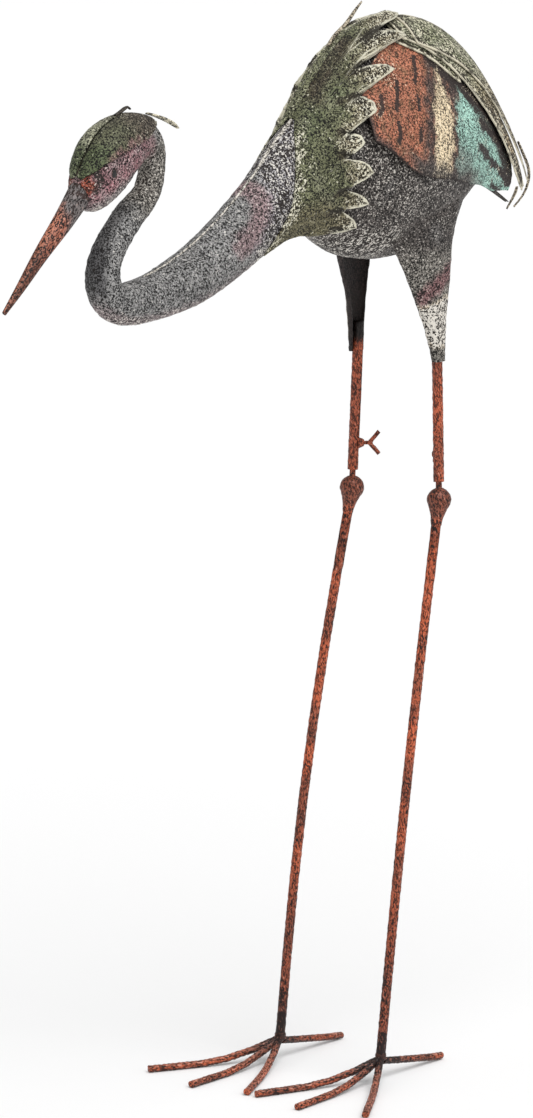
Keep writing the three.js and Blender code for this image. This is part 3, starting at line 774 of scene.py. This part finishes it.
def paint_cape(mesh, rim):
    """Moss green, brown at the root and under the leaves as painted shade, with cream tips. The
    right one is painted paler, as painted light.
    """
    raw = coordinates(mesh)
    points = mirrored(raw)
    # The right cape is painted paler and more brushed, with less brown at the root: painted light.
    painted_lit_right = raw[:, 0].mean() < 0
    x, y, z = points.T
    shoulder = fade(from_line(points, CAPE_SHOULDER), 10, 30)
    # Brown at the root of the cape is painted shade.
    root = fade(from_line(points, CAPE_ROOT), 7, 20)
    root *= rise(y + z, 1030, 1055) * (0.9 + 0.3 * ragged(points, 12))
    # The brushing reaches further in on the upper leaves, which are larger.
    tips = np.min([from_point(points, tip) * (0.6 if tip[2] > 1000 else 1) for tip in CAPE_TIPS],
                  0)
    reach = 1000 * bpy.context.scene.crane_sizes.tip_brush
    tipped = fade(tips + 5 * ragged(points, 8), 0.3 * reach, reach)
    front = from_line(points, CAPE_FRONT)
    scallops = fade(front + 6 * ragged(points, 10), 4, 18) * rise(x, 10, 18)
    sideways = (0.3, 1, 1)
    # Painted shadows of the leaves on the ones under them: a dark drawn line along each fold, and
    # brown shade just below it.
    folds = np.min([from_line(points, fold, sideways) for fold in CAPE_FOLDS], 0)
    leaf_shadows = [fade(from_line(points + (0, 0, 3), fold, sideways), 1, 6) for fold in CAPE_FOLDS]
    paint = layered(
        points, "moss",
        ("sage", 0.3 * rise(ragged(points, 30), 0.2, 0.9)),
        ("leaf", 0.5 * shoulder * rise(ragged(points, 26), -0.4, 0.5)),
        ("bark", (0.25 if painted_lit_right else 0.85) * root),
        ("928671", 0.65 * tipped),
        ("5b523d", 0.6 * fade(z + 5 * ragged(points, 20), 868, 895)),
        *(("bark", 0.7 * shade) for shade in leaf_shadows),
        ("6f7058", 0.65 * painted_lit_right))
    thick = 0.8 * clumps(points) * np.clip(tipped + scallops, 0, 1)
    brush = (0.15 + 0.12 * painted_lit_right + 0.62 * tipped + 0.2 * rise(ragged(points, 14), 0, 0.7)
             + 0.6 * scallops + thick)
    soot = 0.3 + 0.8 * tipped + 0.6 * scallops + 0.3 * root + 0.8 * sum(leaf_shadows) - thick
    coat(mesh, paint, brush, soot, line=folds - 0.8,
         rim=rim + 0.2 + 1.8 * rise(tips, 18, 36) + FAR * fade(front, 2, 4))


def paint_wing(mesh, rim):
    """Orange, cream and teal bands with dark gaps, strokes and hem, a painted shadow under the
    mantle's edge, and a painted shadow line along the rims.
    """
    points = mirrored(coordinates(mesh))
    y, z = points[:, 1], points[:, 2]
    course = points @ BAND_COURSE + 2.2 * ragged(points, 13) + 1.8 * ragged(points, 5)
    front = fade(rim + 3 * ragged(points, 9), 2, 9) * fade(y, 122, 140)
    gap = rise(course, 156, 166)
    past_cream = course - 189 + 13 * rise(z, 948, 992)
    cream = rise(course, 170, 173.5) * fade(past_cream, -2, 2)
    rear = rise(course, 192, 196)
    slant = points @ STROKE_COURSE + 2.5 * ragged(points, 15) + 1.2 * ragged(points, 6)
    hem = fade(from_line(points, WING_LOWER) + 4 * ragged(points, 16), 3, 15)
    hem *= rise(y, 128, 160) * fade(y, 235, 262)
    dragged = sum(
        strength * fade(np.abs(slant - middle), 0.5 * half, half) * rise(y, start, start + 12)
        for middle, half, start, strength in TEAL_STROKES)
    # Painted shadow of the mantle's edge on the wing: near black, with more dark flecks.
    mantle_shadow = fade(from_line(points, MANTLE_EDGE) + 3 * ragged(points, 10), 9, 16)
    mantle_shadow *= rise(course, 150, 166)
    specks = sum(fade(from_point(points, place), *ends) for place, *ends in WING_SPECKS)
    paint = layered(
        points, "orange",
        ("7c5140", 0.6 * rise(ragged(points, 18) - 0.01 * (z - 955), -0.2, 0.8)),
        ("64503a", 0.55 * rise(ragged(points, 7), 0.0, 0.7)),
        ("slate", 0.85 * front),
        ("slate", gap * (1 - 0.5 * rise(ragged(points, 6), 0.1, 0.7))),
        ("sand", cream),
        ("teal", rear),
        ("6f827b", 0.7 * rear * rise(ragged(points, 9), 0.1, 0.8)),
        ("6a716b", 0.8 * rear * fade(slant + 0.25 * (y - 240), 894, 912)),
        ("plum", 0.95 * hem),
        ("2a2322", 0.9 * np.clip(rear * dragged - 0.2, 0, 1)),
        ("241c1a", 0.85 * mantle_shadow))
    soot = (0.45 + np.clip(0.9 * hollows(mesh), -0.2, 0.7) + rear * np.clip(dragged, 0, 1.8)
            + 1.2 * mantle_shadow + 0.5 * gap * fade(course, 169, 172) + 0.2 * cream
            + rise(past_cream, -1, 2) * fade(course, 191, 195))
    brush = (0.15 + 0.4 * cream + 0.5 * specks + 0.12 * rise(ragged(points, 12), 0.1, 0.8)
             + 0.35 * rear * rise(ragged(points, 14), 0.2, 0.8))
    strokes = np.min([from_line(points, stroke) for stroke in WING_STROKES], 0)
    # The dark line along the rims, but for the rear, is a painted shadow where the wing's edge
    # stands off the body.
    coat(mesh, paint, brush, soot,
         line=np.minimum(strokes - 1.3, rim - 0.2 + 6 * rise(y, 236, 260)))


def paint_mantle(mesh, rim):
    """Sage turning brown towards the tail, with painted shade beneath and a band of painted shadow
    inside the pale rims.
    """
    points = coordinates(mesh)
    late = fade(points[:, 2] + 6 * ragged(points, 15), 925, 1000)
    root = fade(points[:, 1] + 4 * ragged(points, 9), 168, 186)
    # Painted shade on the faces turned down, and a painted shadow band just inside the pale rims,
    # where the leaves overlap.
    under = fade(normals(mesh)[:, 2], -0.5, 0.0)
    shade = fade(rim, 3, 6) * rise(rim, 1.4, 2.4)
    paint = layered(
        points, "sage",
        ("666a50", 0.8 * rise(ragged(points, 28), -0.3, 0.5)),
        ("8a7453", 0.9 * late),
        ("3a342a", 0.8 * under),
        ("2b261c", 0.6 * shade))
    thick = 0.55 * clumps(points)
    brush = (0.55 + 0.05 * late + 0.25 * ragged(points, 16) + thick) * (1 - under)
    soot = 1.0 + 0.4 * late + 0.3 * ragged(points, 20) + 0.7 * under + 0.7 * shade - thick
    coat(mesh, paint, brush, soot, rim=rim - 0.4 + 3 * root)


def plume_scheme(tint, brush, soot, uneven):
    """The scheme of a small feather in one tint."""
    def scheme(mesh, rim):
        points = coordinates(mesh)
        coat(mesh, layered(points, tint), brush, soot + uneven * ragged(points, 9))
    return scheme


paint_plume = plume_scheme("cream", 0.6, 0.6, 0.3)
paint_thin_plume = plume_scheme("8f8574", 0.35, 0.5, 0.5)
paint_dark_plume = plume_scheme("35302a", 0.0, 0.5, 0.4)


def paint_rod(mesh, rim):
    """Rust, darker in stretches and at the joints, with a painted highlight on top of the toes,
    painted shade under them, and painted shade at the tube's upper end.
    """
    points = coordinates(mesh)
    upward = normals(mesh)[:, 2]
    x, y, z = np.abs(points[:, 0]), points[:, 1], points[:, 2]
    # The two legs' dark stretches lie at different heights.
    height = z + 40 * (points[:, 0] < 0)
    stretches = rise(np.sin(height / 17 + 2.2 * np.sin(height / 61)), 0.1, 0.9)
    low = fade(z, 60, 300) * rise(z, 14, 30)
    tube = rise(z, *TUBE_FOOT)
    hub = fade(np.hypot(x - HUB[0], y - HUB[1]), 10, 62) * fade(z, 34, 60)
    # Painted highlight on the top of the toes.
    top = fade(z, 28, 40) * rise(upward, 0.2, 0.8) * (1 - hub)
    # Near black on the tube's upper end inside the thigh shell: painted shade.
    upper_end = rise(z, 708, 722)
    collar = sum(fade(np.abs(z - middle), *ends) for middle, *ends in COLLARS)
    paint = layered(
        points, "rust",
        ("6e3b2b", 0.8 * rise(ragged(points, 45), -0.1, 0.6)),
        ("3c2019", 0.6 * stretches * rise(ragged(points, 12), -0.6, 0.4)),
        ("5c3529", 0.8 * fade(np.abs(z - KNEE_HEIGHT), 14, 19)),
        ("4f2c22", 0.6 * low),
        ("49332c", 0.8 * hub),
        # Painted shade under the toes, on faces turned down.
        ("2a1b17", 0.8 * fade(upward, -0.7, 0.1) * fade(z, 30, 40)),
        ("8f5c4b", 0.5 * top),
        ("9c4f36", 0.45 * tube),
        ("1c1513", upper_end))
    soot = (0.4 + 0.35 * stretches + 0.3 * ragged(points, 8) + 0.5 * collar + 0.4 * low
            - 0.35 * tube + 0.8 * hub)
    store(mesh, "Rod", "FLOAT_VECTOR", "vector", rod_coordinates(points))
    coat(mesh, paint, 0.25 + 0.35 * top - 0.6 * upper_end, soot)


def dress(name, nodes, finish, slot, scheme, levels=2, relief=None, **copy):
    """Builds a smooth painted skin over each of some solids."""
    for node in nodes:
        piece = smooth_copy(name.format(node), node, levels, **copy)
        rim = rim_distance(piece.data)
        if relief:
            relief(piece.data)
        keep_inside(piece.data)
        scheme(piece.data, rim)
        settle(piece, slot, finish, node)


def sides(*stems):
    return [f"{stem}_{side}" for stem in stems for side in ("left", "right")]


class Maker:
    """What the operators share: each makes its pieces."""

    def execute(self, context):
        self.make(context.scene.crane_sizes)
        return {"FINISHED"}


# Operators


class CRANE_OT_body(Maker, Operator):
    """Pressed body with neck, head and thighs, and the pinched seam on the neck"""
    bl_idname = "crane.body"
    bl_label = "Body"

    def make(self, sizes):
        dress("pressed_body", ["body"], GREY, "body_paint", paint_body, sizes.skin_levels,
              dented(1, 6))
        self.seam(sizes.seam / 2)

    def seam(self, radius, widens_past=-60, widening=1.16, from_above=0.02):
        """A tube laid on top of the neck, which widens towards its foot."""
        skin = body_skin()
        shape = bmesh.new()
        ring = bmesh.ops.create_circle(shape, segments=8, radius=radius)["verts"]
        bmesh.ops.rotate(shape, verts=ring, matrix=QUARTER_TURN)
        edges = shape.edges[:]
        centre = Vector()
        for y, z in NECK_SEAM:
            start = Vector((0, y / 1000, z / 1000 + from_above))
            hit = skin.ray_cast(start, Vector((0, 0, -1)))[0]
            if hit is None:
                raise RuntimeError("the neck seam misses the neck")
            if centre.length:
                grown = bmesh.ops.extrude_edge_only(shape, edges=edges)["geom"]
                edges = [e for e in grown if isinstance(e, bmesh.types.BMEdge)]
                ring = [v for v in grown if isinstance(v, bmesh.types.BMVert)]
            bmesh.ops.translate(shape, verts=ring, vec=hit - centre)
            centre = hit
            if y > widens_past:
                bmesh.ops.scale(shape, verts=ring, vec=(widening, 1, widening),
                                space=Matrix.Translation(-centre))
        bmesh.ops.holes_fill(shape, edges=shape.edges, sides=8)
        bmesh.ops.recalc_face_normals(shape, faces=shape.faces)
        seam = new_piece("neck_seam", shape)
        plain_coat(seam.data, "c4bdb0", brush=1.0, soot=0.3)
        settle(seam, "body_paint", GREY)


class CRANE_OT_head(Maker, Operator):
    """Beak, crown, crest and eyes"""
    bl_idname = "crane.head"
    bl_label = "Head"

    def make(self, sizes):
        dress("rolled_beak", ["beak"], COPPER, "beak_paint", paint_beak, 3)
        dress("sheet_{}", sides("crown"), GREEN, "crown_paint", paint_crown, 3, dented(0.6, 5))
        dress("pale_crest", ["crest_feather"], SAGE, "cream_paint", paint_plume)
        dress("dark_crest_curl", ["crest_curl"], SAGE, "crown_paint", paint_dark_plume)
        for name, side in (("left", 1), ("right", -1)):
            self.eye(sizes, name, side)

    def eye(self, sizes, name, side, growth=1.12, proud=0.0001):
        """A black oval drop on the cheek, in a raised rim."""
        spot, normal = body_skin().find_nearest(Vector(EYE) * Vector((side, 1, 1)) / 1000)[:2]
        turn = normal.to_track_quat("Z", "Y").to_matrix()
        shape = bmesh.new()
        bmesh.ops.create_uvsphere(shape, u_segments=24, v_segments=12, radius=0.5)
        oval = (sizes.eye_width, sizes.eye_height, sizes.eye_bulge)
        bmesh.ops.scale(shape, verts=shape.verts, vec=oval)
        stand(shape, turn, spot)
        settle(new_piece(f"eye_{name}", shape), "body_paint", BLACK)
        shape = bmesh.new()
        wire = bmesh.ops.create_circle(shape, segments=8, radius=sizes.eye_wire)["verts"]
        bmesh.ops.rotate(shape, verts=wire, matrix=QUARTER_TURN)
        bmesh.ops.translate(shape, verts=wire, vec=(0.5, 0, 0))
        bmesh.ops.spin(shape, geom=shape.verts[:] + shape.edges[:], cent=(0, 0, 0),
                       axis=(0, 0, 1), angle=math.tau, steps=32, use_merge=True)
        for vert in shape.verts:
            spoke = Vector((vert.co.x, vert.co.y))
            off = spoke.length - 0.5
            spoke.normalize()
            vert.co.x = spoke.x * (sizes.eye_width * 0.5 * growth + off)
            vert.co.y = spoke.y * (sizes.eye_height * 0.5 * growth + off)
        stand(shape, turn, spot + normal * proud)
        bmesh.ops.recalc_face_normals(shape, faces=shape.faces)
        ring = new_piece(f"eye_rim_{name}", shape)
        plain_coat(ring.data, "5d4946", brush=0.0)
        settle(ring, "body_paint", GREY)


class CRANE_OT_capes(Maker, Operator):
    """Leaf-edged capes over the shoulders, with the loose plume"""
    bl_idname = "crane.capes"
    bl_label = "Capes"

    def make(self, sizes):

        def relief(mesh):
            lap_leaves(mesh, sizes.lap)
            beat(mesh, 0.8 * sizes.dent, 5)

        dress("leafed_{}", sides("cape"), GREEN, "cape_paint", paint_cape, sizes.leaf_levels,
              relief)
        dress("loose_plume", ["cape_plume"], SAGE, "cream_paint", paint_thin_plume)


class CRANE_OT_wings(Maker, Operator):
    """Grooved wings in three bands of colour"""
    bl_idname = "crane.wings"
    bl_label = "Wings"

    def make(self, sizes):
        dress("grooved_{}", sides("wing"), BANDED, "wing_paint", paint_wing, sizes.leaf_levels,
              dented(0.6, 5))


class CRANE_OT_mantle(Maker, Operator):
    """Long leaves over the back, and the thin feathers under the tail"""
    bl_idname = "crane.mantle"
    bl_label = "Mantle"

    def make(self, sizes):
        leaves = sides("mantle_lower", "mantle_middle", "mantle_upper") + ["mantle_ridge"]
        dress("leaf_{}", leaves, SAGE, "mantle_paint", paint_mantle, sizes.leaf_levels,
              dented(0.6, 5))
        dress("thin_{}", sides("tail_plume", "tail_wisp"), SAGE, "cream_paint", paint_thin_plume)
        dress("dark_{}", sides("tail_tip"), SAGE, "mantle_paint", paint_dark_plume)


class CRANE_OT_legs(Maker, Operator):
    """Upper tubes, thumb screws, lower rods with knees, toes, and the welds under the legs"""
    bl_idname = "crane.legs"
    bl_label = "Legs"

    def make(self, sizes):
        for nodes, run in ((sides("upper_leg", "lower_leg"), 8), (sides("thumb_screw"), None)):
            dress("rod_{}", nodes, LACQUER, "leg_paint", paint_rod, run=run,
                  relief=dented(0.75, 4))
        toes = sides("toe_middle", "toe_outer", "toe_inner", "toe_back")
        dress("rod_{}", toes, LACQUER, "leg_paint", paint_rod, run=4, crease_over=50,
              relief=lambda mesh: notch_rod(mesh, sizes.notch))
        for side in ("left", "right"):
            self.weld(sizes.weld, side)

    def weld(self, radius, side, sunk=0.002):
        """A dark lump of weld where the toes meet under a leg."""
        points = coordinates(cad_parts[f"lower_leg_{side}"].data)
        foot = points[points[:, 2] < points[:, 2].min() + 1].mean(0) / 1000
        shape = bmesh.new()
        bmesh.ops.create_icosphere(shape, subdivisions=4, radius=radius)
        bmesh.ops.scale(shape, verts=shape.verts, vec=(1, 1, 1.15))
        bmesh.ops.translate(shape, verts=shape.verts, vec=Vector(foot) - Vector((0, 0, sunk)))
        lump = new_piece(f"ankle_weld_{side}", shape)
        dented(1, 3)(lump.data)
        store(lump.data, "Rod", "FLOAT_VECTOR", "vector", coordinates(lump.data) / 1000)
        plain_coat(lump.data, "3b221b", soot=0.8)
        settle(lump, "leg_paint", LACQUER)


class CRANE_OT_stage(Maker, Operator):
    """Pale floor, soft lights and the camera"""
    bl_idname = "crane.stage"
    bl_label = "Stage"

    def make(self, sizes):
        scene = bpy.context.scene
        stage = scene.crane_stage
        self.floor()
        world = bpy.data.worlds.new("White studio")
        world.use_nodes = True
        backing = world.node_tree.nodes["Background"]
        backing.inputs["Color"].default_value = (1, 1, 1, 1)
        backing.inputs["Strength"].default_value = stage.fill
        scene.world = world
        light = bpy.data.lights.new("softbox", "SUN")
        light.energy = stage.key
        light.angle = math.radians(stage.key_softness)
        over = self.heading(stage.key_azimuth, stage.key_elevation)
        placed("softbox", light).rotation_euler = over.to_track_quat("Z", "Y").to_euler()
        lens = bpy.data.cameras.new("camera")
        lens.lens = stage.lens
        lens.sensor_width = 36
        lens.clip_end = 200
        camera = placed("camera", lens)
        heading = self.heading(stage.azimuth, stage.elevation)
        target = Vector((0, stage.aim_y, stage.aim_z))
        camera.location = target + stage.distance * heading
        camera.rotation_euler = heading.to_track_quat("Z", "Y").to_euler()
        scene.camera = camera
        scene.view_settings.view_transform = "Standard"

    def floor(self, reach=60, under=0.0005):
        """A wide matt board just under the toes."""
        shape = bmesh.new()
        bmesh.ops.create_grid(shape, x_segments=1, y_segments=1, size=reach)
        bmesh.ops.translate(shape, verts=shape.verts, vec=(0, 0, -under))
        floor = new_piece("floor", shape)
        pale, tree = blank("White studio floor")
        surfaced(tree, {"Base Color": (0.9, 0.9, 0.9, 1), "Roughness": 0.9})
        floor.data.materials.append(pale)

    def heading(self, azimuth, elevation):
        """From the statue towards a place seen at these degrees."""
        around, up = math.radians(azimuth), math.radians(elevation)
        flat = math.cos(up)
        return Vector((math.sin(around) * flat, -math.cos(around) * flat, math.sin(up)))


class CraneStage(PropertyGroup):
    """Camera and light."""
    azimuth: number("Azimuth", "Camera's degrees round the statue from its front", 38.0)
    elevation: number("Elevation", "Camera's degrees above level", 11.35)
    distance: length("Distance", "From the aim point to the camera", 7.0)
    lens: number("Focal length", "Focal length in millimetres", 232.4, min=1)
    aim_y: length("Aim along Y", "Depth of the point the camera looks at", 0.0119)
    aim_z: length("Aim height", "Height of the point the camera looks at", 0.5342)
    key: number("Key light", "Strength of the overhead softbox", 2.3, min=0)
    key_azimuth: number("Key direction", "Softbox's degrees round the statue", 70.0)
    key_elevation: number("Key height", "Softbox's degrees above level", 58.0)
    key_softness: number("Key softness", "Degrees that the softbox spans", 55.0, min=0)
    fill: number("Fill", "Strength of the white surroundings", 0.52, min=0)


class CRANE_PT_panel(Panel):
    """Pieces, sizes and paints of the crane"""
    bl_idname = "CRANE_PT_panel"
    bl_label = "Garden crane"
    bl_space_type = "VIEW_3D"
    bl_region_type = "UI"
    bl_category = "Crane"

    def draw(self, context):
        layout = self.layout
        for maker in MAKERS:
            layout.operator(maker.bl_idname)
        for name in GROUPS:
            group = getattr(context.scene, name)
            for key in group.bl_rna.properties.keys():
                if key not in {"rna_type", "name"}:
                    layout.prop(group, key)


MAKERS = (CRANE_OT_body, CRANE_OT_head, CRANE_OT_capes, CRANE_OT_wings, CRANE_OT_mantle,
          CRANE_OT_legs, CRANE_OT_stage)
GROUPS = {"crane_sizes": CraneSizes, "crane_paints": CranePaints, "crane_stage": CraneStage}
CLASSES = (*GROUPS.values(), *MAKERS, CRANE_PT_panel)


def register():
    for item in CLASSES:
        bpy.utils.register_class(item)
    for name, group in GROUPS.items():
        setattr(bpy.types.Scene, name, PointerProperty(type=group))


def unregister():
    for name in GROUPS:
        delattr(bpy.types.Scene, name)
    for item in reversed(CLASSES):
        bpy.utils.unregister_class(item)


def main():
    register()
    for maker in MAKERS:
        group, name = maker.bl_idname.split(".")
        getattr(getattr(bpy.ops, group), name)()


if __name__ == "__main__":
    main()
